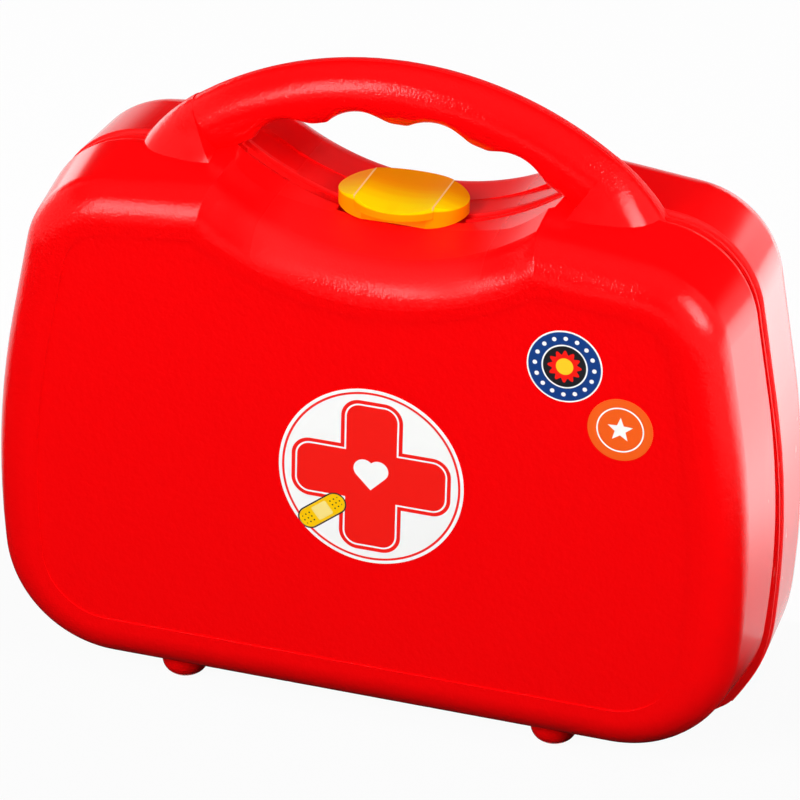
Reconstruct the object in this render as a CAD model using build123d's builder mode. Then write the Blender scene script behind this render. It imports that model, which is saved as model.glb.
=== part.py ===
"""Toy doctor case: two drafted half shells, each with half of the arched handle, hinged along the bottom
and held shut by a sliding latch in the scoop under the handle. +Z is up, the front faces -Y, and the origin
is on the floor under the middle of the closed case. All sizes are in millimetres."""

import os
from math import atan2, cos, degrees, dist, hypot, radians, sin, sqrt, tan

from build123d import *

# Face of the case, seen from the front and measured from the shells' bottom line
front_bottom_half_width = 126.8
front_bottom_radius = 43.0
back_bottom_half_width = 116.0
back_bottom_radius = 15.0
back_flank_half_width = 131.5
back_flank_height = 24.0
back_flank_radius = 60.0
belly_half_width = 135.1
belly_height = 83.0
top_corner_half_width = 117.5
top_corner_height = 178.9
kink_half_width = 53.3
kink_height = 185.6
scoop_height = 167.4
belly_radius = 300.0
bulge_margin = 1.0
top_corner_radius = 34.4

# Half shells
front_depth = 39.5
back_depth = 43.5
front_draft = 6.0
back_draft = 2.1
front_edge_radius = 12.9
back_edge_radius = 12.6
wall = 2.2
mating_gap = 0.3

# Stepped seam: each wall stops short of the mating plane and a thinner collar runs on to it
step_width = 3.2
step_depth = 1.6
collar_thickness = 1.9
collar_length = 7.0
front_end_radius = 0.7
back_end_radius = 1.5
bead_width = 1.0
bead_depth = 0.5
bead_stop_height = 8.0
tongue_gap = 0.3
tongue_thickness = 1.4
tongue_length = 4.0
tongue_root = 3.0

# Fine step round the front panel
panel_border = 4.1
panel_recess = 0.35

# Feet
foot_height = 5.0
foot_spacing_x = 131.0
foot_spacing_y = 50.0
foot_radius = 8.0
foot_flat_radius = 2.0
foot_root = 4.0

# Hinges under the mating plane
hinge_drop = 1.9
hinge_spacing = 140.0
knuckle_radius = 2.8
lid_knuckle_length = 14.0
back_knuckle_length = 10.0
knuckle_side_gap = 0.3
pin_radius = 1.25
pin_clearance = 0.05
web_start = 0.4
web_end = 7.0
web_drop = 1.2
web_rise = 3.9

# Arched grip and its boots, and the hollow that runs through them
grip_rise = 35.7
arch_radius = 114.6
grip_half_depth = 10.0
grip_half_height = 10.5
grip_end_angle = 37.0
channel_half_depth = 7.8
channel_half_height = 4.2
finger_spacing = 30.2
finger_radius = 17.6
finger_reach = 14.0
finger_lift = 7.3
finger_edge_radius = 3.0
boot_angle = 34.9
boot_step = 0.3
boot_flank = ((10.0, 4.4), (13.0, -0.6), (15.3, -4.6), (17.5, -9.6))
boot_length = 32.0
boot_droop = 0.0083
boot_flare = 0.0125
boot_wall = 2.6

# Hand pocket in the scoop, under the grip
pocket_radius = 96.0
pocket_drop = 0.4
pocket_half_length = 58.0
pocket_half_width = 16.0
pocket_corner = 12.0
pocket_clear_height = 40.0

# Sliding latch: its place, its swing about the hand pocket's axis, and its parts
latch_y = 1.0
latch_lift = 1.8
latch_turn = 4.8
latch_clearance = 0.3
latch_length = 44.0
latch_width = 23.0
latch_end_height = 4.9
ridge_spacing = 27.0
ridge_height = 6.8
dish_width = 35.2
dish_depth = 1.6
dish_lip = 2.6
waist_depth = 1.6
waist_length = 22.0
boss_thickness = 6.0
boss_margin = 3.0
leg_spacing = 20.0
leg_length = 5.0
leg_thickness = 3.0
leg_offset = 5.0
barb_reach = 0.8
barb_height = 1.6
retainer_thickness = 1.6
retainer_margin = 4.0
retainer_clearance = 0.05
tab_spacing = 18.0
tab_width = 4.0
tab_thickness = 3.0
tab_offset = -8.0
tab_depth = 3.4
tab_clearance = 0.4

# Labels on the front panel: middle across, middle up and radius
label_thickness = 0.15
main_label = (4.3, 90.8, 31.8)
ring_label = (68.3, 142.5, 12.6)
dot_label = (87.6, 123.2, 10.9)

# Worked-out places
seam_y = (front_depth - back_depth) / 2
front_y = seam_y - front_depth
front_mating_y = seam_y - mating_gap / 2
back_mating_y = seam_y + mating_gap / 2
wall_end = mating_gap / 2 + step_width
mouth_inset = step_depth + collar_thickness
hinge_z = foot_height - hinge_drop
latch_z = foot_height + scoop_height + latch_lift
pocket_floor = foot_height + scoop_height - pocket_drop
pocket_axis_z = pocket_floor + pocket_radius
boss_radius = pocket_radius + boss_thickness
boss_z = pocket_axis_z - boss_radius
arch_z = foot_height + kink_height + grip_rise - arch_radius - grip_half_height
front_corner = ((front_bottom_half_width, 0, front_bottom_radius),)
back_corner = (
    (back_bottom_half_width, 0, back_bottom_radius),
    (back_flank_half_width, back_flank_height, back_flank_radius),
)


def facing_front(y):
    """Plane across the case at y, with its normal to the front and its origin on the shells' bottom line."""
    return Plane(origin=(0, y, foot_height), x_dir=(1, 0, 0), z_dir=(0, -1, 0))


def facing_back(y):
    """The same plane with its normal to the back."""
    return Plane(origin=(0, y, foot_height), x_dir=(-1, 0, 0), z_dir=(0, 1, 0))


def fillet_length(before, point, after, radius):
    """Length that a fillet takes from each of the two lines that meet at point."""
    heading_in = atan2(point[1] - before[1], point[0] - before[0])
    heading_out = atan2(after[1] - point[1], after[0] - point[0])
    return radius * tan((heading_out - heading_in) / 2)


def bulge_radius(corner):
    """Radius of the side's bulge, held to the straights that the corners below and above leave."""
    before, low = ((0, 0), *corner)[-2:]
    belly, top = (belly_half_width, belly_height), (top_corner_half_width, top_corner_height)
    kink = (kink_half_width, kink_height)
    lower_room = dist(low[:2], belly) - fillet_length(before, low, belly, low[2])
    upper_room = dist(belly, top) - fillet_length(belly, top, kink, top_corner_radius)
    room = min(lower_room, upper_room) - bulge_margin
    return min(belly_radius, room / fillet_length(low, belly, top, 1.0))


def face_outline(corner, inset=0.0):
    """Outline of the case as a flat sketch, drawn in by inset. The corner's points, each with its rounding,
    lead from the bottom line up to the side."""
    scoop_end = (kink_half_width, kink_height)
    top_corner = (top_corner_half_width, top_corner_height)
    side = [(x, z) for x, z, _ in corner] + [(belly_half_width, belly_height), top_corner, scoop_end]
    radii = [radius for _, _, radius in corner] + [bulge_radius(corner), top_corner_radius]
    with BuildSketch() as outline:
        with BuildLine():
            Polyline(*((-x, z) for x, z in reversed(side)), *side)
            ThreePointArc(scoop_end, (0, scoop_height), (-scoop_end[0], scoop_end[1]))
        make_face()
        for (_, height), radius in zip(side, radii):
            fillet(outline.vertices().filter_by_position(Axis.Y, height - 0.1, height + 0.1), radius)
        if inset:
            offset(amount=-inset)
    return outline.sketch


def pocket_cylinder(radius):
    """Free-standing cylinder about the hand pocket's axis."""
    place = Location((0, seam_y, pocket_axis_z), (90, 0, 0))
    return place * Cylinder(radius, 4 * pocket_half_width, mode=Mode.PRIVATE)


def hand_pocket(grow):
    """What the hand pocket removes: a wide cylinder inside a rounded rectangle in plan, grown all round."""
    with BuildPart() as pocket:
        with BuildSketch(Plane.XY.offset(pocket_floor - grow)):
            with Locations((0, seam_y)):
                RectangleRounded(
                    2 * (pocket_half_length + grow), 2 * (pocket_half_width + grow), pocket_corner + grow
                )
        extrude(amount=pocket_clear_height)
        add(pocket_cylinder(pocket_radius + grow), mode=Mode.INTERSECT)
    return pocket.part


def slab(plane, corner, inset, length):
    """Straight slab with the case's outline and hand pocket, both drawn in by inset."""
    with BuildPart() as block:
        with BuildSketch(plane):
            add(face_outline(corner, inset))
        extrude(amount=length)
        add(hand_pocket(inset), mode=Mode.SUBTRACT)
    return block.part


def tub(plane, corner, inset, start, depth, draft, edge_radius, end_radius=0.0):
    """Drafted half of the case from start to depth behind the plane, drawn in by inset, with a rounded far
    edge and an optional rounded near edge."""
    near = plane.offset(start)
    outward = Axis(near.origin, near.z_dir)
    with BuildPart() as block:
        with BuildSketch(near):
            add(face_outline(corner, inset + (start - wall_end) * tan(radians(draft))))
        extrude(amount=depth - start - inset, taper=draft)
        fillet(block.faces().sort_by(outward)[-1].edges(), edge_radius - inset)
        if end_radius:
            fillet(block.faces().sort_by(outward)[0].edges(), end_radius)
        add(hand_pocket(inset), mode=Mode.SUBTRACT)
    return block.part


def box_between(low, high):
    """Free-standing box between two opposite corners."""
    middle = [(a + b) / 2 for a, b in zip(low, high)]
    size = [b - a for a, b in zip(low, high)]
    return Pos(*middle) * Box(*size, mode=Mode.PRIVATE)


def radial_plane(angle):
    """Plane through the arch's axis, angle degrees to the right of the top: across is Y, up is outward."""
    turn = radians(angle)
    return Plane(origin=(0, seam_y, arch_z), x_dir=(0, 1, 0), z_dir=(cos(turn), 0, -sin(turn)))


def grip_arch(half_depth, half_height):
    """Arched stretch of the grip with an oval section."""
    with BuildPart() as arch:
        with BuildSketch(radial_plane(-grip_end_angle)):
            with Locations((0, arch_radius)):
                Ellipse(half_depth, half_height)
        revolve(axis=Axis((0, seam_y, arch_z), (0, 1, 0)), revolution_arc=2 * grip_end_angle)
    return arch.part


def boot_section(run, inset):
    """Bell-shaped section of the boot, run along its drooping length and drawn in by inset."""
    widening = 1 + run * boot_flare
    middle = arch_radius - boot_droop * run**2
    flank = [(across * widening - inset, middle + up) for across, up in boot_flank]
    crest = (0, middle + grip_half_height + boot_step - inset)
    with BuildSketch(radial_plane(boot_angle).offset(run)) as section:
        with BuildLine():
            bell = Spline(*((-across, out) for across, out in reversed(flank)), crest, *flank)
            Line(bell @ 1, bell @ 0)
        make_face()
    return section.sketch.face()


def boot(inset):
    """Flared root of the right end of the grip, slanting down into the shells."""
    with BuildPart() as root:
        loft([boot_section(run, inset) for run in (inset, boot_length / 2, boot_length)])
    return root.part


def handle_half(mating_plane):
    """Half of the handle on one side of its mating plane, hollow from that plane."""
    boot_outside = boot(0)
    boot_inside = boot(boot_wall)
    with BuildPart() as half:
        add(grip_arch(grip_half_depth, grip_half_height))
        for place in (-1.5, -0.5, 0.5, 1.5):
            section = radial_plane(degrees(place * finger_spacing / arch_radius))
            with Locations(section.location * Pos(0, arch_radius + finger_lift, 0)):
                Torus(finger_reach + finger_radius, finger_radius, mode=Mode.SUBTRACT)
            fillet(half.edges(Select.LAST), finger_edge_radius)
        add(boot_outside)
        add(mirror(boot_outside, about=Plane.YZ, mode=Mode.PRIVATE))
        add(grip_arch(channel_half_depth, channel_half_height), mode=Mode.SUBTRACT)
        add(boot_inside, mode=Mode.SUBTRACT)
        add(mirror(boot_inside, about=Plane.YZ, mode=Mode.PRIVATE), mode=Mode.SUBTRACT)
        split(bisect_by=mating_plane, keep=Keep.TOP)
    return half.part


def foot(x, y):
    """Domed foot with a flat pad on the floor."""
    with BuildPart() as dome:
        with Locations((x, y, 0)):
            Cylinder(foot_radius, foot_height + foot_root, align=(Align.CENTER, Align.CENTER, Align.MIN))
        fillet(dome.edges().sort_by(Axis.Z)[0], foot_radius - foot_flat_radius)
    return dome.part


def core(plane, mating_plane, corner, depth, draft, edge_radius, end_radius):
    """Solid half of the case: drafted wall block and the thinner neck that reaches the mating plane."""
    with BuildPart() as block:
        add(tub(plane, corner, 0, wall_end, depth, draft, edge_radius, end_radius))
        add(slab(mating_plane, corner, step_depth, collar_length))
    return block.part


def knuckle_group(lengths, web_side):
    """Hinge knuckles on the pin's axis at both hinges, as (offset along X, length) pairs, with their webs."""
    with BuildPart() as group:
        for hinge_x in (-hinge_spacing / 2, hinge_spacing / 2):
            for offset_x, length in lengths:
                middle = (hinge_x + offset_x, seam_y, hinge_z)
                with Locations(Location(middle, (0, 90, 0))):
                    Cylinder(knuckle_radius, length)
                near_y, far_y = sorted((seam_y + web_side * web_start, seam_y + web_side * web_end))
                add(
                    box_between(
                        (middle[0] - length / 2, near_y, hinge_z - web_drop),
                        (middle[0] + length / 2, far_y, hinge_z + web_rise),
                    )
                )
        for hinge_x in (-hinge_spacing / 2, hinge_spacing / 2):
            with Locations(Location((hinge_x, seam_y, hinge_z), (0, 90, 0))):
                Cylinder(pin_radius + pin_clearance, hinge_spacing / 2, mode=Mode.SUBTRACT)
    return group.part


# Both halves as solids, and the bosses inside them that carry the latch
front_plane = facing_front(seam_y)
back_plane = facing_back(seam_y)
front_mating = facing_front(front_mating_y)
back_mating = facing_back(back_mating_y)
front_core = core(
    front_plane, front_mating, front_corner, front_depth, front_draft, front_edge_radius, front_end_radius
)
back_core = core(
    back_plane, back_mating, back_corner, back_depth, back_draft, back_edge_radius, back_end_radius
)

latch_travel = boss_radius * radians(latch_turn)
slide_right = latch_length / 2
boss_left = -slide_right - latch_travel - boss_margin
boss_right = slide_right + boss_margin
boss_front = latch_y - latch_width / 2 - boss_margin
boss_back = latch_y + latch_width / 2 + boss_margin
boss_top = foot_height + kink_height
leg_y = latch_y + leg_offset
leg_xs = (-leg_spacing / 2, leg_spacing / 2)
tab_y = latch_y + tab_offset
tab_xs = (-tab_spacing / 2, tab_spacing / 2)
tab_radius = pocket_radius + tab_depth
tab_reach = hypot(tab_xs[1] + tab_width / 2, tab_radius)
retainer_top = boss_z - latch_clearance
retainer_bottom = retainer_top - retainer_thickness
barb_top = retainer_bottom - latch_clearance

with BuildPart() as front_boss:
    add(front_core)
    add(
        box_between((boss_left, boss_front, boss_z), (boss_right, front_mating_y, boss_top)),
        mode=Mode.INTERSECT,
    )
    add(pocket_cylinder(boss_radius), mode=Mode.INTERSECT)

with BuildPart() as back_boss:
    add(back_core)
    add(
        box_between((boss_left, back_mating_y, boss_z), (boss_right, boss_back, boss_top)),
        mode=Mode.INTERSECT,
    )
    add(pocket_cylinder(boss_radius), mode=Mode.INTERSECT)

# Bayonet slots for the latch's tabs: each has a way in from the mating plane and a blind end to its left
with BuildPart() as tab_slots:
    slot_front = tab_y - tab_thickness / 2 - tab_clearance
    slot_back = tab_y + tab_thickness / 2 + tab_clearance
    for tab_x in tab_xs:
        slot_left = tab_x - tab_width / 2 - tab_clearance
        slot_right = tab_x + tab_width / 2 + tab_clearance
        add(box_between((slot_left, slot_front, boss_z), (slot_right, seam_y, boss_top)))
        add(
            box_between((slot_left - latch_travel, slot_front, boss_z), (slot_right, slot_back, boss_top))
        )
    add(pocket_cylinder(tab_reach + tab_clearance), mode=Mode.INTERSECT)

with BuildPart() as leg_slots:
    for leg_x in leg_xs:
        add(
            box_between(
                (
                    leg_x - leg_length / 2 - latch_travel - latch_clearance,
                    leg_y - leg_thickness / 2 - latch_clearance,
                    boss_z - boss_thickness,
                ),
                (
                    leg_x + leg_length / 2 + latch_clearance,
                    leg_y + leg_thickness / 2 + latch_clearance,
                    boss_top,
                ),
            )
        )

# Front shell, which is the lid: it turns forwards about the hinges
front_flat_inset = (
    (front_depth - wall_end) * tan(radians(front_draft))
    + front_edge_radius * tan(radians((90 - front_draft) / 2))
    + panel_border
)
with BuildPart() as front_shell:
    add(front_core)
    add(handle_half(front_mating))
    for foot_x in (-foot_spacing_x / 2, foot_spacing_x / 2):
        add(foot(foot_x, -foot_spacing_y / 2))
    add(
        tub(front_plane, front_corner, wall, collar_length, front_depth, front_draft, front_edge_radius),
        mode=Mode.SUBTRACT,
    )
    add(slab(front_mating, front_corner, mouth_inset, collar_length), mode=Mode.SUBTRACT)
    add(front_boss.part)
    add(tab_slots.part, mode=Mode.SUBTRACT)
    add(knuckle_group(((0, lid_knuckle_length),), -1))
    with BuildSketch(facing_front(front_y)):
        add(face_outline(front_corner, front_flat_inset))
    extrude(amount=-panel_recess, mode=Mode.SUBTRACT)

# Back shell, with the bead beside the mating plane and the tongue that centres the lid
with BuildPart() as seam_bead:
    add(slab(back_mating, back_corner, bead_depth, bead_width))
    add(slab(back_mating, back_corner, mouth_inset, bead_width), mode=Mode.SUBTRACT)
    add(
        box_between(
            (-belly_half_width, front_y, 0),
            (belly_half_width, -front_y, foot_height + bead_stop_height),
        ),
        mode=Mode.SUBTRACT,
    )
    add(
        box_between((-kink_half_width, front_y, boss_z), (slide_right, -front_y, arch_z + arch_radius)),
        mode=Mode.SUBTRACT,
    )

with BuildPart() as tongue:
    tongue_back = facing_back(back_mating_y + tongue_root)
    tongue_inset = mouth_inset + tongue_gap
    inner_inset = tongue_inset + tongue_thickness
    add(slab(back_mating, back_corner, step_depth, tongue_root))
    tongue_front = facing_back(seam_y - mating_gap / 2 - tongue_length)
    add(slab(tongue_front, front_corner, tongue_inset, tongue_length + mating_gap + tongue_root))
    add(
        slab(tongue_front, front_corner, inner_inset, tongue_length + mating_gap + tongue_root),
        mode=Mode.SUBTRACT,
    )
    add(
        box_between(
            (-pocket_half_length, front_y, boss_z - wall),
            (pocket_half_length, -front_y, arch_z + arch_radius),
        ),
        mode=Mode.SUBTRACT,
    )

back_knuckle_offset = lid_knuckle_length / 2 + knuckle_side_gap + back_knuckle_length / 2
with BuildPart() as back_shell:
    add(back_core)
    add(handle_half(back_mating))
    for foot_x in (-foot_spacing_x / 2, foot_spacing_x / 2):
        add(foot(foot_x, foot_spacing_y / 2))
    add(seam_bead.part)
    add(
        tub(back_plane, back_corner, wall, collar_length, back_depth, back_draft, back_edge_radius),
        mode=Mode.SUBTRACT,
    )
    add(slab(back_mating, back_corner, mouth_inset, collar_length), mode=Mode.SUBTRACT)
    add(tongue.part)
    add(back_boss.part)
    add(leg_slots.part, mode=Mode.SUBTRACT)
    add(
        knuckle_group(
            ((-back_knuckle_offset, back_knuckle_length), (back_knuckle_offset, back_knuckle_length)), 1
        )
    )

# Hinge pins
pin_length = lid_knuckle_length + 2 * (knuckle_side_gap + back_knuckle_length)


def hinge_pin(x):
    """Plain pin through one hinge's knuckles."""
    with BuildPart() as pin:
        with Locations(Location((x, seam_y, hinge_z), (0, 90, 0))):
            Cylinder(pin_radius, pin_length)
    return pin


hinge_pin_left = hinge_pin(-hinge_spacing / 2)
hinge_pin_right = hinge_pin(hinge_spacing / 2)

# Latch slider: oval base waisted under a thumb dish, sloping ends, two barbed legs and two locking tabs.
# Its underside follows the hand pocket's floor.
underside_radius = pocket_radius - latch_clearance
underside_z = pocket_axis_z - underside_radius
underside_end_z = pocket_axis_z - sqrt(underside_radius**2 - (latch_length / 2) ** 2)
with BuildPart() as latch_slider:
    with BuildSketch(Plane.XY.offset(underside_z)):
        with Locations((0, latch_y)):
            SlotOverall(latch_length, latch_width)
        for side in (-1, 1):
            edge_y = latch_y + side * latch_width / 2
            with BuildLine():
                waist = ThreePointArc(
                    (-waist_length / 2, edge_y),
                    (0, edge_y - side * waist_depth),
                    (waist_length / 2, edge_y),
                )
                Line(waist @ 1, waist @ 0)
            make_face(mode=Mode.SUBTRACT)
    extrude(amount=latch_z + ridge_height - underside_z)
    with BuildSketch(Plane.XY.offset(latch_z + dish_lip)):
        with BuildLine():
            front_arc = ThreePointArc(
                (-ridge_spacing / 2, latch_y - latch_width / 2),
                (0, latch_y - dish_width / 2),
                (ridge_spacing / 2, latch_y - latch_width / 2),
            )
            back_arc = ThreePointArc(
                (-ridge_spacing / 2, latch_y + latch_width / 2),
                (0, latch_y + dish_width / 2),
                (ridge_spacing / 2, latch_y + latch_width / 2),
            )
            Line(front_arc @ 0, back_arc @ 0)
            Line(front_arc @ 1, back_arc @ 1)
        make_face()
    extrude(amount=ridge_height - dish_lip)
    with BuildSketch(Plane.XZ.offset(-latch_y)):
        with BuildLine():
            dish_curve = ThreePointArc(
                (-ridge_spacing / 2, latch_z + ridge_height),
                (0, latch_z + ridge_height - dish_depth),
                (ridge_spacing / 2, latch_z + ridge_height),
            )
            underside = ThreePointArc(
                (-latch_length / 2, underside_end_z), (0, underside_z), (latch_length / 2, underside_end_z)
            )
            Polyline(dish_curve @ 1, (latch_length / 2, latch_z + latch_end_height), underside @ 1)
            Polyline(dish_curve @ 0, (-latch_length / 2, latch_z + latch_end_height), underside @ 0)
        make_face()
    extrude(amount=dish_width, both=True, mode=Mode.INTERSECT)
    for leg_x in leg_xs:
        leg_left, leg_right = leg_x - leg_length / 2, leg_x + leg_length / 2
        leg_front, leg_back = leg_y - leg_thickness / 2, leg_y + leg_thickness / 2
        barb_bottom = barb_top - barb_height
        add(box_between((leg_left, leg_front, barb_bottom), (leg_right, leg_back, latch_z)))
        add(
            box_between(
                (leg_left, leg_front - barb_reach, barb_bottom), (leg_right, leg_back + barb_reach, barb_top)
            )
        )
    for tab_x in tab_xs:
        add(
            box_between(
                (tab_x - tab_width / 2, tab_y - tab_thickness / 2, pocket_axis_z - tab_radius),
                (tab_x + tab_width / 2, tab_y + tab_thickness / 2, latch_z),
            )
        )

# Retainer plate that the legs snap through, inside the back shell
retainer_length = leg_spacing + leg_length + 2 * retainer_margin
retainer_width = leg_thickness + 2 * retainer_margin
with BuildPart() as latch_retainer:
    with BuildSketch(Plane.XY.offset(retainer_bottom)):
        with Locations((0, leg_y)):
            Rectangle(retainer_length, retainer_width)
        with Locations(*((leg_x, leg_y) for leg_x in leg_xs)):
            Rectangle(
                leg_length + 2 * retainer_clearance, leg_thickness + 2 * retainer_clearance, mode=Mode.SUBTRACT
            )
    extrude(amount=retainer_thickness)
    fillet(latch_retainer.edges().filter_by(Axis.Z).group_by(Axis.X)[0], retainer_thickness)
    fillet(latch_retainer.edges().filter_by(Axis.Z).group_by(Axis.X)[-1], retainer_thickness)


def label_disc(place):
    """Round label stuck on the front panel."""
    x, height, radius = place
    with BuildPart() as disc:
        with BuildSketch(facing_front(front_y + panel_recess)):
            with Locations((x, height)):
                Circle(radius)
        extrude(amount=label_thickness)
    return disc


label_main = label_disc(main_label)
label_ring = label_disc(ring_label)
label_dot = label_disc(dot_label)

pieces = {
    "front_shell": front_shell,
    "back_shell": back_shell,
    "hinge_pin_left": hinge_pin_left,
    "hinge_pin_right": hinge_pin_right,
    "latch_slider": latch_slider,
    "latch_retainer": latch_retainer,
    "label_main": label_main,
    "label_ring": label_ring,
    "label_dot": label_dot,
}
os.makedirs("parts", exist_ok=True)
for name, piece in pieces.items():
    piece.part.label = name
    export_step(piece.part, f"parts/{name}.step")
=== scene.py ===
# %% [markdown]
# # A child's red doctor case
# This lesson dresses a plastic play case. The two shells, the latch, the hinge pins and the labels come
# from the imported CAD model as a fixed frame, in metres, with +Z up and the front panel facing -Y.
# Blender adds what CAD can't say: how the moulded plastic, the printed labels and the light look.

import math

import bpy
from mathutils import Matrix, Vector

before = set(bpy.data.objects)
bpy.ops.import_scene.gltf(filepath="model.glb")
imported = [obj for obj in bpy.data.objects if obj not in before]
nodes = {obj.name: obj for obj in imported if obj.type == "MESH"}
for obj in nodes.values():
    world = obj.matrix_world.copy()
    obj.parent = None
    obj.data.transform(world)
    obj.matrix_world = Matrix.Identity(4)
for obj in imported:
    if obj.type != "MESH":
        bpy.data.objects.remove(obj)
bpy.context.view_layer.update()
MM = 0.001
print("CAD nodes:", ", ".join(sorted(nodes)))

# %% [markdown]
# ## The camera
# A product photograph is taken from far off with a long lens, so that parallel edges stay nearly parallel.
# The camera's place was found by fitting a model of the lens to the case's outline. It stands 1.74 m away,
# 17 degrees to the right of the front and 27 degrees up, and is rolled by a degree and a half. We build its
# axes as vectors instead of turning it with angles, because then each step can be checked on paper.

# %% Camera at the photograph's place
AZIMUTH = math.radians(17.362)
ELEVATION = math.radians(27.061)
ROLL = math.radians(1.478)
DISTANCE = 1.7418
TARGET = Vector((0, -0.005, 0.105))
SENSOR_WIDTH_MM = 36
FOCAL_PIXELS = 5243.7
IMAGE_PIXELS = 800
CENTRE_PIXELS = (393.26, 402.41)


def camera_axes():
    """The camera's right, up and backward directions."""
    back = Vector(
        (
            math.sin(AZIMUTH) * math.cos(ELEVATION),
            -math.cos(AZIMUTH) * math.cos(ELEVATION),
            math.sin(ELEVATION),
        )
    )
    level_right = Vector((math.cos(AZIMUTH), math.sin(AZIMUTH), 0))
    level_up = back.cross(level_right)
    right = level_right * math.cos(ROLL) + level_up * math.sin(ROLL)
    up = level_up * math.cos(ROLL) - level_right * math.sin(ROLL)
    return right, up, back


right, up, back = camera_axes()
camera_data = bpy.data.cameras.new("camera")
camera_data.sensor_width = SENSOR_WIDTH_MM
camera_data.lens = FOCAL_PIXELS / IMAGE_PIXELS * SENSOR_WIDTH_MM
camera_data.shift_x = (IMAGE_PIXELS / 2 - CENTRE_PIXELS[0]) / IMAGE_PIXELS
camera_data.shift_y = (CENTRE_PIXELS[1] - IMAGE_PIXELS / 2) / IMAGE_PIXELS
camera_data.clip_end = 20
camera = bpy.data.objects.new("camera", camera_data)
camera.matrix_world = Matrix.Translation(TARGET + back * DISTANCE) @ Matrix(
    (right, up, back)
).transposed().to_4x4()
bpy.context.scene.collection.objects.link(camera)
bpy.context.scene.camera = camera
bpy.context.scene.view_settings.view_transform = "Standard"
print("Lens:", round(camera_data.lens, 1), "mm")

# %% [markdown]
# ## Small helpers for node trees
# A procedural material is a chain of small sums. These helpers add a node, set its plain values and link
# its inputs in one line, so that each material below reads from top to bottom like a recipe.


# %% Node helpers
def set_inputs(tree, node, inputs):
    """Gives each named socket of a node its value, or links the output given for it."""
    for socket, value in inputs.items():
        if isinstance(value, bpy.types.NodeSocket):
            tree.links.new(value, node.inputs[socket])
        else:
            node.inputs[socket].default_value = value


def add_node(tree, kind, inputs=None, **settings):
    """Adds a shader node. Its settings are attributes, and inputs maps a socket to a value or an output."""
    node = tree.nodes.new(kind)
    for name, value in settings.items():
        setattr(node, name, value)
    set_inputs(tree, node, inputs or {})
    return node


def maths(tree, operation, *values):
    """One Math node, returned as its output."""
    return add_node(tree, "ShaderNodeMath", dict(enumerate(values)), operation=operation).outputs[0]


def noise(tree, place, scale, detail):
    """A noise from 0 to 1 at a place."""
    return add_node(
        tree, "ShaderNodeTexNoise", {"Vector": place, "Scale": scale, "Detail": detail}
    ).outputs["Fac"]


def stretched(tree, place, scale, rotation=(0, 0, 0)):
    """The place, turned and scaled along each axis, for a noise with a direction."""
    return add_node(
        tree, "ShaderNodeMapping", {"Vector": place, "Rotation": rotation, "Scale": scale}
    ).outputs[0]


def blend_values(tree, amount, low, high):
    """A number that goes from low to high as amount goes from 0 to 1."""
    return add_node(tree, "ShaderNodeMix", {0: amount, 2: low, 3: high}, data_type="FLOAT").outputs[0]


def blend_colours(tree, amount, low, high):
    """A colour that goes from low to high as amount goes from 0 to 1."""
    return add_node(tree, "ShaderNodeMix", {0: amount, 6: low, 7: high}, data_type="RGBA").outputs[2]


def soft_step(tree, value, start, end):
    """A mask that rises smoothly from 0 at start to 1 at end, or falls where end is below start."""
    low, high = min(start, end), max(start, end)
    limits = (0.0, 1.0) if start < end else (1.0, 0.0)
    node = add_node(
        tree,
        "ShaderNodeMapRange",
        {0: value, 1: low, 2: high, 3: limits[0], 4: limits[1]},
        interpolation_type="SMOOTHSTEP",
    )
    return node.outputs[0]


def soft_band(tree, value, middle, spread):
    """A mask that is 1 near the middle value. It falls between the two distances given as spread."""
    distance = maths(tree, "ABSOLUTE", maths(tree, "SUBTRACT", value, middle))
    return soft_step(tree, distance, *spread)


# %% [markdown]
# A node group is a recipe of its own with named inputs and outputs, which a material uses like one node. The
# next helpers make a group, place it in a material, and start a material with its Principled shader.


# %% Group and material helpers
def new_group(name, output, kind):
    """A node group that turns a place into one output. Gives the group, its place and its output node."""
    group = bpy.data.node_groups.new(name, "ShaderNodeTree")
    group.interface.new_socket("Place", in_out="INPUT", socket_type="NodeSocketVector")
    group.interface.new_socket(output, in_out="OUTPUT", socket_type=kind)
    inside, outside = group.nodes.new("NodeGroupInput"), group.nodes.new("NodeGroupOutput")
    return group, inside.outputs["Place"], outside


def place_group(tree, group, place):
    """Places a group in a material and returns its output."""
    node = tree.nodes.new("ShaderNodeGroup")
    node.node_tree = group
    set_inputs(tree, node, {"Place": place})
    return node.outputs[0]


def new_material(name):
    """A material with a Principled shader. Gives the material, its tree, the shader and the place."""
    material = bpy.data.materials.new(name)
    material.use_nodes = True
    tree = material.node_tree
    tree.nodes.clear()
    shader = tree.nodes.new("ShaderNodeBsdfPrincipled")
    output = tree.nodes.new("ShaderNodeOutputMaterial")
    tree.links.new(shader.outputs[0], output.inputs["Surface"])
    place = add_node(tree, "ShaderNodeTexCoord").outputs["Object"]
    return material, tree, shader, place


def dress(material, *names):
    """Gives CAD nodes one material and says so."""
    for name in names:
        mesh = nodes[name].data
        mesh.materials.clear()
        mesh.materials.append(material)
    print(material.name, "with", len(material.node_tree.nodes), "nodes dresses", ", ".join(names))


# %% [markdown]
# ## Mould grain
# Toy makers spark-erode the big faces of a mould, which leaves a fine orange-peel grain that hides
# scratches. Each bump is under a millimetre wide, so it is far too fine to model, and a bump map of two
# noises is the usual way. The group takes the place on the piece and gives back a height.

# %% Grain group
GRAIN_SIZE = 0.8 * MM
PIT_SIZE = 2.3 * MM
PIT_SHARE = 0.35


def make_grain_group():
    """Height of the spark-eroded grain, from 0 to 1: fine peel with wider, shallower pits in it."""
    group, place, outside = new_group("mould_grain", "Height", "NodeSocketFloat")
    fine = noise(group, place, 1 / GRAIN_SIZE, 1.0)
    pits = noise(group, place, 1 / PIT_SIZE, 0.0)
    group.links.new(blend_values(group, PIT_SHARE, fine, pits), outside.inputs["Height"])
    return group


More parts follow.
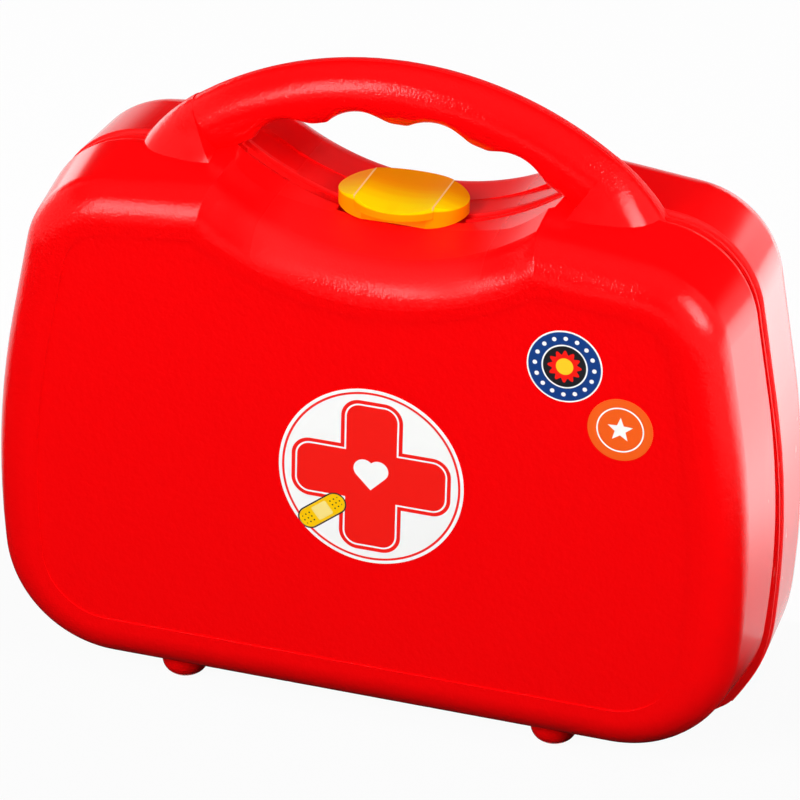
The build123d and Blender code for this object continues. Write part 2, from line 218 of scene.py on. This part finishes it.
grain_group = make_grain_group()
print("Grain:", round(GRAIN_SIZE / MM, 1), "mm peel with", round(PIT_SIZE / MM, 1), "mm pits")

# %% [markdown]
# ## Scuffs
# A case that is carried about has a few short, pale scuffs where its fullest edges rub against things. A
# stretched noise is cut off high up, which leaves thin, rare marks, and a wide noise gathers them in a few
# places. The group gives back how strong the mark is at each point.

# %% Scuff group
STROKE_SLANT = (0, 0.7, 0)
STROKE_SCALE = (900, 300, 160)
STROKE_RANGE = (0.70, 0.76)
PATCH_SCALE = 26
PATCH_RANGE = (0.56, 0.66)


def make_scuff_group():
    """Strength of the scuffs, from 0 to 1, at a place."""
    group, place, outside = new_group("edge_scuffs", "Strength", "NodeSocketFloat")
    strokes = noise(group, stretched(group, place, STROKE_SCALE, STROKE_SLANT), 1.0, 2.0)
    patches = noise(group, place, PATCH_SCALE, 1.0)
    stroke = soft_step(group, strokes, *STROKE_RANGE)
    patch = soft_step(group, patches, *PATCH_RANGE)
    group.links.new(maths(group, "MULTIPLY", stroke, patch), outside.inputs["Strength"])
    return group


scuff_group = make_scuff_group()
print("Scuffs: patches about", round(1000 / PATCH_SCALE), "mm apart")

# %% [markdown]
# ## Red moulded polypropylene
# The same red plastic has several finishes. The front panel, the back panel and the grip are grained and
# look satin. The side walls are polished, because the shell slides out of the mould along them, and they
# mirror the white studio. Hands dull the plastic beside the latch and in the hollows under the grip, and the
# narrow seam between the halves is matt. One material does it all: masks made from the place on the case
# fade one finish into the next.

# %% Where the red plastic changes its finish
FRONT_GRAIN = (-29 * MM, -36 * MM)
BACK_GRAIN = (32 * MM, 39 * MM)
GRIP_GRAIN = (191 * MM, 196 * MM)
RUB_ACROSS = (46 * MM, 26 * MM)
LATCH_RUB_HEIGHT = 174 * MM
LATCH_RUB_SPREAD = (13 * MM, 5 * MM)
FINGER_RUB_HEIGHT = 195 * MM
FINGER_RUB_SPREAD = (9 * MM, 4 * MM)
SEAM_DEPTH = 0.0
SEAM_SPREAD = (3.4 * MM, 2.4 * MM)
SCUFF_ACROSS = (108 * MM, 118 * MM)
SCUFF_HEIGHTS = (120 * MM, 90 * MM)


def grained_part(tree, depth, height):
    """Mask of the panels and the grip."""
    panels = maths(
        tree, "MAXIMUM", soft_step(tree, depth, *FRONT_GRAIN), soft_step(tree, depth, *BACK_GRAIN)
    )
    return maths(tree, "MAXIMUM", panels, soft_step(tree, height, *GRIP_GRAIN))


def rubbed_part(tree, beside, height):
    """Mask of what hands rub: the scoop round the latch, and the hollows under the grip."""
    by_latch = soft_band(tree, height, LATCH_RUB_HEIGHT, LATCH_RUB_SPREAD)
    by_fingers = soft_band(tree, height, FINGER_RUB_HEIGHT, FINGER_RUB_SPREAD)
    near_middle = soft_step(tree, beside, *RUB_ACROSS)
    return maths(tree, "MULTIPLY", near_middle, maths(tree, "MAXIMUM", by_latch, by_fingers))


def scuffed_part(tree, place, beside, height):
    """Strength of the scuffs, which lie low on the fullest part of the sides."""
    fullest = soft_step(tree, beside, *SCUFF_ACROSS)
    low = soft_step(tree, height, *SCUFF_HEIGHTS)
    scuffs = place_group(tree, scuff_group, place)
    return maths(tree, "MULTIPLY", maths(tree, "MULTIPLY", scuffs, fullest), low)


print("Grain starts", round(-FRONT_GRAIN[0] / MM), "mm in front of the seam")

# %% [markdown]
# The grain's height is multiplied by its mask before it goes into the bump, so the polished walls stay flat.
# The bump is deeper than real grain, because it has to show where a pixel is a third of a millimetre wide.
# Roughness is blended three times: satin over polish, then rubbed over that, and the seam over all.

# %% Red plastic
RED = (0.93, 0.0012, 0.0022, 1)
SCUFF_RED = (0.95, 0.16, 0.13, 1)
GRAIN_DEPTH = 0.3 * MM
GRAIN_STRENGTH = 0.6
POLISHED_ROUGHNESS = 0.15
GRAINED_ROUGHNESS = 0.17
RUBBED_ROUGHNESS = 0.5
SEAM_ROUGHNESS = 0.6
RED_SPECULAR = 0.15


def make_red_plastic():
    """Satin and grained on the panels and the grip, polished on the side walls, dull where it is rubbed."""
    material, tree, shader, place = new_material("red_polypropylene")
    axes = add_node(tree, "ShaderNodeSeparateXYZ", {0: place})
    beside = maths(tree, "ABSOLUTE", axes.outputs["X"])
    depth, height = axes.outputs["Y"], axes.outputs["Z"]
    grained = grained_part(tree, depth, height)
    relief = maths(tree, "MULTIPLY", place_group(tree, grain_group, place), grained)
    bump = add_node(
        tree, "ShaderNodeBump", {"Strength": GRAIN_STRENGTH, "Distance": GRAIN_DEPTH, "Height": relief}
    )
    tree.links.new(bump.outputs["Normal"], shader.inputs["Normal"])
    colour = blend_colours(tree, scuffed_part(tree, place, beside, height), RED, SCUFF_RED)
    tree.links.new(colour, shader.inputs["Base Color"])
    roughness = blend_values(tree, grained, POLISHED_ROUGHNESS, GRAINED_ROUGHNESS)
    roughness = blend_values(tree, rubbed_part(tree, beside, height), roughness, RUBBED_ROUGHNESS)
    in_seam = soft_band(tree, depth, SEAM_DEPTH, SEAM_SPREAD)
    roughness = blend_values(tree, in_seam, roughness, SEAM_ROUGHNESS)
    tree.links.new(roughness, shader.inputs["Roughness"])
    shader.inputs["Specular IOR Level"].default_value = RED_SPECULAR
    return material


dress(make_red_plastic(), "front_shell", "back_shell")

# %% [markdown]
# ## Yellow latch
# The slider is a small, glossy moulding without grain. Its dish is painted with shade: it deepens from yellow
# at the front to orange at the back, with a noise that sways the shade's edge, and its side wall is painted
# orange as shade too. Two ridges under half a millimetre high cross it, and their crests carry painted pale
# highlights.

# %% Latch plastic
LATCH_YELLOW = (1.0, 0.74, 0.0, 1)
LATCH_SHADE_ORANGE = (0.98, 0.31, 0.0, 1)
LATCH_HIGHLIGHT_PALE = (1.0, 0.62, 0.25, 1)
LATCH_ROUGHNESS = 0.2
LATCH_SPECULAR = 0.2
SHADE_EDGE_SCALE = (30, 400, 200)
SHADE_EDGE_SWAY = 4 * MM
DISH_SHADE_DEPTHS = (-9 * MM, 11 * MM)
WALL_SHADE_HEIGHTS = (179.5 * MM, 178.9 * MM)
RIDGE_HIGHLIGHT_PLACE = 13.5 * MM
RIDGE_HIGHLIGHT_SPREAD = (0.34 * MM, 0.22 * MM)
RIDGE_HIGHLIGHT_HEIGHTS = (179.6 * MM, 180.4 * MM)


def make_yellow_plastic():
    """Glossy yellow plastic, with painted shade in orange at its back edge and wall, and painted ridge
    highlights.
    """
    material, tree, shader, place = new_material("yellow_polypropylene")
    # Painted shade: the dish turns a deeper orange towards its back, a noise sways that edge, and the side
    # wall is painted orange as shade.
    flow = noise(tree, stretched(tree, place, SHADE_EDGE_SCALE), 1.0, 1.0)
    axes = add_node(tree, "ShaderNodeSeparateXYZ", {0: place})
    across, depth, height = (axes.outputs[axis] for axis in "XYZ")
    back = soft_step(tree, maths(tree, "MULTIPLY_ADD", flow, SHADE_EDGE_SWAY, depth), *DISH_SHADE_DEPTHS)
    low = soft_step(tree, height, *WALL_SHADE_HEIGHTS)
    # Painted highlight: pale lines along the crests of the two ridges.
    line = soft_band(tree, maths(tree, "ABSOLUTE", across), RIDGE_HIGHLIGHT_PLACE, RIDGE_HIGHLIGHT_SPREAD)
    line = maths(tree, "MULTIPLY", line, soft_step(tree, height, *RIDGE_HIGHLIGHT_HEIGHTS))
    colour = blend_colours(tree, maths(tree, "MAXIMUM", back, low), LATCH_YELLOW, LATCH_SHADE_ORANGE)
    colour = blend_colours(tree, line, colour, LATCH_HIGHLIGHT_PALE)
    tree.links.new(colour, shader.inputs["Base Color"])
    shader.inputs["Roughness"].default_value = LATCH_ROUGHNESS
    shader.inputs["Specular IOR Level"].default_value = LATCH_SPECULAR
    return material


dress(make_yellow_plastic(), "latch_slider", "latch_retainer")

# %% [markdown]
# ## Hinge wire
# The pins are plain steel wire that runs along X. Faint rings are left round it where it was turned, so the
# noise changes quickly along X and slowly across.

# %% Steel wire
STEEL = (0.55, 0.55, 0.57, 1)
RING_SCALE = (3000, 60, 60)
WIRE_ROUGHNESS = (0.25, 0.45)


def make_wire():
    """Plain steel wire."""
    material, tree, shader, place = new_material("steel_wire")
    rings = noise(tree, stretched(tree, place, RING_SCALE), 1.0, 2.0)
    tree.links.new(blend_values(tree, rings, *WIRE_ROUGHNESS), shader.inputs["Roughness"])
    shader.inputs["Base Color"].default_value = STEEL
    shader.inputs["Metallic"].default_value = 1.0
    return material


dress(make_wire(), "hinge_pin_left", "hinge_pin_right")

# %% [markdown]
# ## Printed labels
# Each label is a disc of printed film. Its print is drawn with sums on the place, as a graphics program does:
# for every shape there is a number that says how far a point is from the shape's edge, below zero inside. A
# mask is one where that number is negative, with a soft edge as narrow as ink on film. The designs are plain
# ones: a cross with a heart and a sticking plaster, a sun in a dotted ring, and a star.

# %% Places on a label
INK_EDGE = 0.06 * MM


def moved(tree, across, height, centre):
    """The same place, counted from another centre."""
    return maths(tree, "SUBTRACT", across, centre[0]), maths(tree, "SUBTRACT", height, centre[1])


def centred(tree, place, centre):
    """The place across and up from the label's centre."""
    axes = add_node(tree, "ShaderNodeSeparateXYZ", {0: place})
    return moved(tree, axes.outputs["X"], axes.outputs["Z"], centre)


def turned(tree, across, height, degrees):
    """The same place, seen from axes turned by the angle."""
    c, s = math.cos(math.radians(degrees)), math.sin(math.radians(degrees))
    new_across = maths(tree, "ADD", maths(tree, "MULTIPLY", across, c), maths(tree, "MULTIPLY", height, s))
    new_height = maths(
        tree, "SUBTRACT", maths(tree, "MULTIPLY", height, c), maths(tree, "MULTIPLY", across, s)
    )
    return new_across, new_height


def length(tree, across, height):
    """Length of the vector (across, height)."""
    squares = (maths(tree, "MULTIPLY", side, side) for side in (across, height))
    return maths(tree, "SQRT", maths(tree, "ADD", *squares))


print("Ink edges are", round(INK_EDGE / MM, 2), "mm soft to each side")

# %% [markdown]
# The shapes come next. Two shapes are joined by taking the smaller of their distances, and a shape is cut by
# another by taking the larger. Layers of ink then lie on each other in the order in which they are listed.


# %% Shape sums
def from_disc(tree, across, height, radius):
    """Distance from a disc's edge."""
    return maths(tree, "SUBTRACT", length(tree, across, height), radius)


def from_box(tree, across, height, half_width, half_height, corner=0.0):
    """Distance from the edge of a box with rounded corners."""
    over_x = maths(tree, "SUBTRACT", maths(tree, "ABSOLUTE", across), half_width - corner)
    over_z = maths(tree, "SUBTRACT", maths(tree, "ABSOLUTE", height), half_height - corner)
    outside = length(tree, maths(tree, "MAXIMUM", over_x, 0.0), maths(tree, "MAXIMUM", over_z, 0.0))
    inside = maths(tree, "MINIMUM", maths(tree, "MAXIMUM", over_x, over_z), 0.0)
    return maths(tree, "SUBTRACT", maths(tree, "ADD", outside, inside), corner)


def from_line(tree, distance, middle, half_width):
    """Distance from a line of even width that runs round a shape at the given distance from its edge."""
    from_middle = maths(tree, "ABSOLUTE", maths(tree, "SUBTRACT", distance, middle))
    return maths(tree, "SUBTRACT", from_middle, half_width)


def print_layers(group, outside, colour, layers):
    """Lays inks over a ground colour, the last on top. Each layer is a shape's distance and a colour."""
    for distance, ink in layers:
        colour = blend_colours(group, soft_step(group, distance, INK_EDGE, -INK_EDGE), colour, ink)
    group.links.new(colour, outside.inputs["Color"])
    print(group.name, "has", len(layers), "inks and", len(group.nodes), "nodes")
    return group


# %% [markdown]
# ### The main label
# A red cross with softly rounded corners stands on white inside a thin red ring. A white line runs inside the
# cross's edge, a white heart sits in its middle, and a yellow sticking plaster lies over its lower left. The
# heart is a square on its corner with a disc on each of its two upper sides.

# %% Main label's cross and heart
MAIN_CENTRE = (4.3 * MM, 95.8 * MM)
MAIN_RADIUS = 31.8 * MM
RIM_LINE = (-1.5 * MM, 0.4 * MM)
CROSS_ARM = 27.4 * MM
CROSS_HALF_WIDTH = 10.6 * MM
CROSS_CORNER = 6.5 * MM
CROSS_LINE = (-1.6 * MM, 0.3 * MM)
HEART_HALF = 3.5 * MM
HEART_TURN = 45


def from_cross(tree, x, z):
    """Distance from the cross's edge."""
    upright = from_box(tree, x, z, CROSS_HALF_WIDTH, CROSS_ARM, CROSS_CORNER)
    level = from_box(tree, x, z, CROSS_ARM, CROSS_HALF_WIDTH, CROSS_CORNER)
    return maths(tree, "MINIMUM", upright, level)


def from_heart(tree, x, z):
    """Distance from the heart's edge."""
    u, v = turned(tree, x, z, HEART_TURN)
    heart = from_box(tree, u, v, HEART_HALF, HEART_HALF)
    for lobe in ((HEART_HALF, 0), (0, HEART_HALF)):
        heart = maths(tree, "MINIMUM", heart, from_disc(tree, *moved(tree, u, v, lobe), HEART_HALF))
    return heart


print("The cross is", round(2 * CROSS_ARM / MM, 1), "mm wide in a ring of", round(2 * MAIN_RADIUS / MM, 1))

# %% [markdown]
# The plaster has a pad in its middle and rows of small holes in the rest. One hole is drawn, and the place
# goes to and fro under it like a ball between two walls, which one of the Math node's operations does.

# %% Main label's plaster and print
WHITE_FILM = (0.97, 0.97, 0.96, 1)
LABEL_RED = (0.93, 0.010, 0.006, 1)
PLASTER_YELLOW = (1.0, 0.58, 0.0, 1)
PLASTER_PAD = (1.0, 0.78, 0.25, 1)
DARK_INK = (0.012, 0.012, 0.015, 1)
PLASTER_CENTRE = (-16.5 * MM, -15.5 * MM)
PLASTER_HALF = (9.0 * MM, 3.5 * MM)
PLASTER_ANGLE = 38
PLASTER_OUTLINE = (0.25 * MM, 0.25 * MM)
PAD_HALF = (3.0 * MM, 2.6 * MM)
PAD_CORNER = 0.6 * MM
HOLE_SPACING = 1.5 * MM
HOLE_RADIUS = 0.28 * MM
HOLE_FROM_EDGE = 1.0 * MM
HOLE_FROM_PAD = 0.4 * MM


def plaster_layers(tree, x, z):
    """The inks of the sticking plaster."""
    u, v = turned(tree, *moved(tree, x, z, PLASTER_CENTRE), PLASTER_ANGLE)
    plaster = from_box(tree, u, v, *PLASTER_HALF, PLASTER_HALF[1])
    pad = from_box(tree, u, v, *PAD_HALF, PAD_CORNER)
    folded = (maths(tree, "PINGPONG", side, HOLE_SPACING / 2) for side in (u, v))
    holes = from_disc(tree, *folded, HOLE_RADIUS)
    holes = maths(tree, "MAXIMUM", holes, maths(tree, "ADD", plaster, HOLE_FROM_EDGE))
    holes = maths(tree, "MAXIMUM", holes, maths(tree, "SUBTRACT", HOLE_FROM_PAD, pad))
    outline = from_line(tree, plaster, *PLASTER_OUTLINE)
    return [(plaster, PLASTER_YELLOW), (holes, DARK_INK), (pad, PLASTER_PAD), (outline, DARK_INK)]


def make_main_print():
    """Colour of the main label's print at a place."""
    group, place, outside = new_group("main_print", "Color", "NodeSocketColor")
    x, z = centred(group, place, MAIN_CENTRE)
    rim = from_line(group, from_disc(group, x, z, MAIN_RADIUS), *RIM_LINE)
    cross = from_cross(group, x, z)
    layers = [
        (rim, LABEL_RED),
        (cross, LABEL_RED),
        (from_line(group, cross, *CROSS_LINE), WHITE_FILM),
        (from_heart(group, x, z), WHITE_FILM),
    ]
    return print_layers(group, outside, WHITE_FILM, layers + plaster_layers(group, x, z))


main_print = make_main_print()

# %% [markdown]
# ### The two small labels
# Dots that stand evenly round a ring are one dot, folded: the angle is cut into equal shares, and each share
# shows the same dot. The sun's rays are a wave that runs round its edge.

# %% Blue label's print
RING_CENTRE = (68.3 * MM, 147.5 * MM)
RING_BLUE = (0.006, 0.045, 0.23, 1)
SUN_YELLOW = (1.0, 0.62, 0.02, 1)
BLUE_RADIUS = 12.1 * MM
DOT_COUNT = 16
DOTS_RADIUS = 9.9 * MM
DOT_RADIUS = 0.75 * MM
DISC_RIM_RADIUS = 7.7 * MM
DISC_RADIUS = 7.2 * MM
SUN_RADIUS = 5.0 * MM
RAY_COUNT = 12
RAY_HEIGHT = 0.7 * MM
SUN_MIDDLE_RADIUS = 2.9 * MM


def folded_angle(tree, x, z, shares):
    """The angle from the middle of the nearest of a number of equal shares, counted from straight up."""
    share = 2 * math.pi / shares
    turns = maths(tree, "ADD", maths(tree, "DIVIDE", maths(tree, "ARCTAN2", x, z), share), 0.5)
    return maths(tree, "MULTIPLY", maths(tree, "SUBTRACT", maths(tree, "FRACT", turns), 0.5), share)


def sun_edge(tree, x, z):
    """Radius of the sun's wavy edge in the direction of a place."""
    wave = maths(tree, "COSINE", maths(tree, "MULTIPLY", maths(tree, "ARCTAN2", x, z), RAY_COUNT))
    return maths(tree, "MULTIPLY_ADD", wave, RAY_HEIGHT, SUN_RADIUS)


def make_ring_print():
    """Colour of the blue label's print: a sun in a dark disc, inside a ring of white dots."""
    group, place, outside = new_group("ring_print", "Color", "NodeSocketColor")
    x, z = centred(group, place, RING_CENTRE)
    radius = length(group, x, z)
    along_ring = maths(group, "MULTIPLY", folded_angle(group, x, z, DOT_COUNT), DOTS_RADIUS)
    dots = from_disc(group, along_ring, maths(group, "SUBTRACT", radius, DOTS_RADIUS), DOT_RADIUS)
    layers = [
        (maths(group, "SUBTRACT", radius, BLUE_RADIUS), RING_BLUE),
        (dots, WHITE_FILM),
        (maths(group, "SUBTRACT", radius, DISC_RIM_RADIUS), WHITE_FILM),
        (maths(group, "SUBTRACT", radius, DISC_RADIUS), DARK_INK),
        (maths(group, "SUBTRACT", radius, sun_edge(group, x, z)), LABEL_RED),
        (maths(group, "SUBTRACT", radius, SUN_MIDDLE_RADIUS), SUN_YELLOW),
    ]
    return print_layers(group, outside, WHITE_FILM, layers)


ring_print = make_ring_print()

# %% [markdown]
# The star is half of one point, folded ten times. Its edge is the straight line from the tip, which lies on
# the outer circle, to the waist between two points, which lies on the inner one.

# %% Orange label's print
STAR_CENTRE = (87.6 * MM, 128.2 * MM)
STAR_ORANGE = (0.95, 0.12, 0.01, 1)
STAR_LABEL_RADIUS = 10.9 * MM
STAR_RING = (-3.2 * MM, 0.25 * MM)
STAR_POINTS = 5
STAR_RADIUS = 4.4 * MM
STAR_WAIST = 1.9 * MM


def from_star(tree, x, z):
    """Distance from the edge of a five-pointed star."""
    fold = maths(tree, "ABSOLUTE", folded_angle(tree, x, z, STAR_POINTS))
    half_share = math.pi / STAR_POINTS
    edge_x = STAR_WAIST * math.sin(half_share)
    edge_z = STAR_RADIUS - STAR_WAIST * math.cos(half_share)
    edge = math.hypot(edge_x, edge_z)
    along = maths(tree, "MULTIPLY", maths(tree, "COSINE", fold), edge_x / edge)
    beside = maths(tree, "MULTIPLY", maths(tree, "SINE", fold), edge_z / edge)
    reach = maths(tree, "MULTIPLY", length(tree, x, z), maths(tree, "ADD", along, beside))
    return maths(tree, "SUBTRACT", reach, STAR_RADIUS * edge_x / edge)


def make_star_print():
    """Colour of the orange label's print: a white star inside a thin white ring."""
    group, place, outside = new_group("star_print", "Color", "NodeSocketColor")
    x, z = centred(group, place, STAR_CENTRE)
    ring = from_line(group, from_disc(group, x, z, STAR_LABEL_RADIUS), *STAR_RING)
    layers = [(ring, WHITE_FILM), (from_star(group, x, z), WHITE_FILM)]
    return print_layers(group, outside, STAR_ORANGE, layers)


star_print = make_star_print()

# %% [markdown]
# The film itself is the same for all three: satin, so that it shines a little less than the case.

# %% Label film
FILM_ROUGHNESS = 0.35
FILM_SPECULAR = 0.3


def make_label(name, print_group):
    """Satin printed film."""
    material, tree, shader, place = new_material(name)
    tree.links.new(place_group(tree, print_group, place), shader.inputs["Base Color"])
    shader.inputs["Roughness"].default_value = FILM_ROUGHNESS
    shader.inputs["Specular IOR Level"].default_value = FILM_SPECULAR
    return material


dress(make_label("main_label_film", main_print), "label_main")
dress(make_label("ring_label_film", ring_print), "label_ring")
dress(make_label("star_label_film", star_print), "label_dot")

# %% [markdown]
# ## Studio
# The case stands on a white sweep. To the camera and in mirrors the sweep and the world are white, while
# their light on the case stays moderate and comes mostly from overhead, so that red stays red. The Light
# Path node tells these rays apart, and a twentieth of the floor stays plain and shows the case's shadow.

# %% Floor and world
FLOOR_SIZE = 8
FLOOR_GREY = 0.85
FLOOR_GLOW = 0.95
HORIZON_LIGHT = 0.15
ZENITH_LIGHT = 1.3
ZENITH_POWER = 2.0
WHITE_LIGHT = (1, 1, 1, 1)


def show_white(tree):
    """1 for the rays that should see the background: the camera's, mirrored and refracted ones."""
    path = add_node(tree, "ShaderNodeLightPath")
    mirrored = maths(tree, "MAXIMUM", path.outputs["Is Glossy Ray"], path.outputs["Is Transmission Ray"])
    return maths(tree, "MAXIMUM", path.outputs["Is Camera Ray"], mirrored)


def stage_tree(owner, output_kind):
    """An empty node tree for a stage material or the world, and its output's surface socket."""
    owner.use_nodes = True
    tree = owner.node_tree
    tree.nodes.clear()
    return tree, tree.nodes.new(output_kind).inputs["Surface"]


def make_floor():
    """A wide pale floor that camera and mirror rays see as nearly white, with the case's shadow on it."""
    bpy.ops.mesh.primitive_plane_add(size=FLOOR_SIZE, location=(0, 0, 0))
    floor = bpy.context.object
    floor.name = "studio_floor"
    material = bpy.data.materials.new("studio_floor")
    tree, surface = stage_tree(material, "ShaderNodeOutputMaterial")
    diffuse = add_node(tree, "ShaderNodeBsdfDiffuse", {"Color": (FLOOR_GREY, FLOOR_GREY, FLOOR_GREY, 1)})
    glow = add_node(tree, "ShaderNodeEmission", {"Color": WHITE_LIGHT, "Strength": 1.0})
    share = maths(tree, "MULTIPLY", show_white(tree), FLOOR_GLOW)
    mix = add_node(tree, "ShaderNodeMixShader", {0: share, 1: diffuse.outputs[0], 2: glow.outputs[0]})
    tree.links.new(mix.outputs[0], surface)
    floor.data.materials.append(material)


def make_world():
    """White to the camera and to mirrors. Its light comes mostly from overhead."""
    world = bpy.data.worlds.new("studio")
    tree, surface = stage_tree(world, "ShaderNodeOutputWorld")
    direction = add_node(tree, "ShaderNodeTexCoord").outputs["Generated"]
    rise = add_node(tree, "ShaderNodeSeparateXYZ", {0: direction}).outputs["Z"]
    overhead = maths(tree, "POWER", maths(tree, "MAXIMUM", rise, 0.0), ZENITH_POWER)
    light = blend_values(tree, overhead, HORIZON_LIGHT, ZENITH_LIGHT)
    strength = blend_values(tree, show_white(tree), light, 1.0)
    background = add_node(tree, "ShaderNodeBackground", {"Color": WHITE_LIGHT, "Strength": strength})
    tree.links.new(background.outputs[0], surface)
    bpy.context.scene.world = world


make_floor()
make_world()
print("Floor:", FLOOR_SIZE, "m wide. World light:", HORIZON_LIGHT, "to", ZENITH_LIGHT)

# %% [markdown]
# ### Lamps
# Two soft boxes give the long soft streaks along the upper edges. The large one stands to the left of the
# camera, and the small one at the right.

# %% Lamps
LAMP_AIM = (0, 0, 0.15)


def softbox(name, place, size, power):
    """A rectangular area lamp that faces the case."""
    data = bpy.data.lights.new(name, "AREA")
    data.shape = "RECTANGLE"
    data.size, data.size_y = size
    data.energy = power
    lamp = bpy.data.objects.new(name, data)
    lamp.location = place
    lamp.rotation_euler = (Vector(LAMP_AIM) - Vector(place)).to_track_quat("-Z", "Y").to_euler()
    bpy.context.scene.collection.objects.link(lamp)
    print(name, "gives", power, "W")


softbox("key_lamp", place=(-0.66, -1.29, 0.83), size=(0.45, 0.9), power=18.5)
softbox("side_lamp", place=(1.15, -0.42, 0.75), size=(0.5, 0.5), power=11)

# %% [markdown]
# ### Cards
# Shiny plastic shows what stands round it, so a photographer sets up cards outside the picture. Black ones
# behind, above, in front and on the floor before the case keep the top faces, the grip and the panel a full
# red. Bright ones at the right, the left and the back light up in the polished walls, and one in front of
# the side lamp makes the spot on the upper right corner. Each side of a card fades into the white round it,
# so that its mirror image has no hard edge. The bright cards are seen by mirrored rays alone, and two of the
# black ones also shade the case a little.

# %% Cards
BLACK = 0.02
EVEN = (0.3, 0.3, 0.3, 0.3)


def card_material(name, strength, fades):
    """A glow of one strength that fades into the white at the card's left, right, near and far sides."""
    material = bpy.data.materials.new(name)
    tree, surface = stage_tree(material, "ShaderNodeOutputMaterial")
    place = add_node(tree, "ShaderNodeTexCoord").outputs["Object"]
    axes = add_node(tree, "ShaderNodeSeparateXYZ", {0: place})
    shares = []
    for axis, low_fade, high_fade in (("X", *fades[:2]), ("Y", *fades[2:])):
        low = soft_step(tree, axes.outputs[axis], -1.0, -1.0 + low_fade)
        high = soft_step(tree, axes.outputs[axis], 1.0, 1.0 - high_fade)
        shares.append(maths(tree, "MULTIPLY", low, high))
    rim = blend_values(tree, show_white(tree), HORIZON_LIGHT, 1.0)
    level = blend_values(tree, maths(tree, "MULTIPLY", *shares), rim, strength)
    glow = add_node(tree, "ShaderNodeEmission", {"Color": WHITE_LIGHT, "Strength": level})
    tree.links.new(glow.outputs[0], surface)
    return material


def mirror_card(name, centre, across, along, strength, fades=EVEN, shades=False):
    """A flat card between its centre's two half sides. Fades are shares of these half sides."""
    centre, across, along = Vector(centre), Vector(across), Vector(along)
    mesh = bpy.data.meshes.new(name)
    mesh.from_pydata([(-1, -1, 0), (1, -1, 0), (1, 1, 0), (-1, 1, 0)], [], [(0, 1, 2, 3)])
    mesh.materials.append(card_material(name, strength, fades))
    card = bpy.data.objects.new(name, mesh)
    facing = across.cross(along).normalized()
    card.matrix_world = Matrix.Translation(centre) @ Matrix((across, along, facing)).transposed().to_4x4()
    bpy.context.scene.collection.objects.link(card)
    card.visible_camera = False
    card.visible_diffuse = shades
    card.visible_shadow = False
    card.visible_transmission = False
    print(name, "has strength", strength)


mirror_card("black_card", (-0.3, 0.9, 1.1), (1.7, 0, 0), (0, 0, 0.9), BLACK, shades=True)
mirror_card(
    "black_mat", (-0.2, -0.49, 0.002), (0.7, 0, 0), (0, 0.57, 0), BLACK, (0.2, 0.2, 0.2, 0.1), shades=True
)
mirror_card("black_ceiling", (-0.7, -0.5, 1.9), (2.7, 0, 0), (0, 2.4, 0), BLACK)
mirror_card("black_front", (-0.6, -2.7, 1.3), (2.0, 0, 0), (0, 0, 1.2), BLACK)
mirror_card("spot_card", (1.10, -0.40, 0.73), (0, 0.36, 0), (-0.26, 0, 0.26), 20)
mirror_card("right_card", (1.03, 1.25, 0.003), (0.9, 0, 0), (0, 1.2, 0), 4.3, (0.16, 1.0, 0.1, 1.5))
mirror_card("left_card", (-0.90, 0.62, 0.16), (0.20, 0.29, 0), (0, 0, 0.18), 3.2)
mirror_card("back_card", (0.28, 0.86, 0.24), (0.25, 0, 0), (0, 0, 0.16), 3.0)
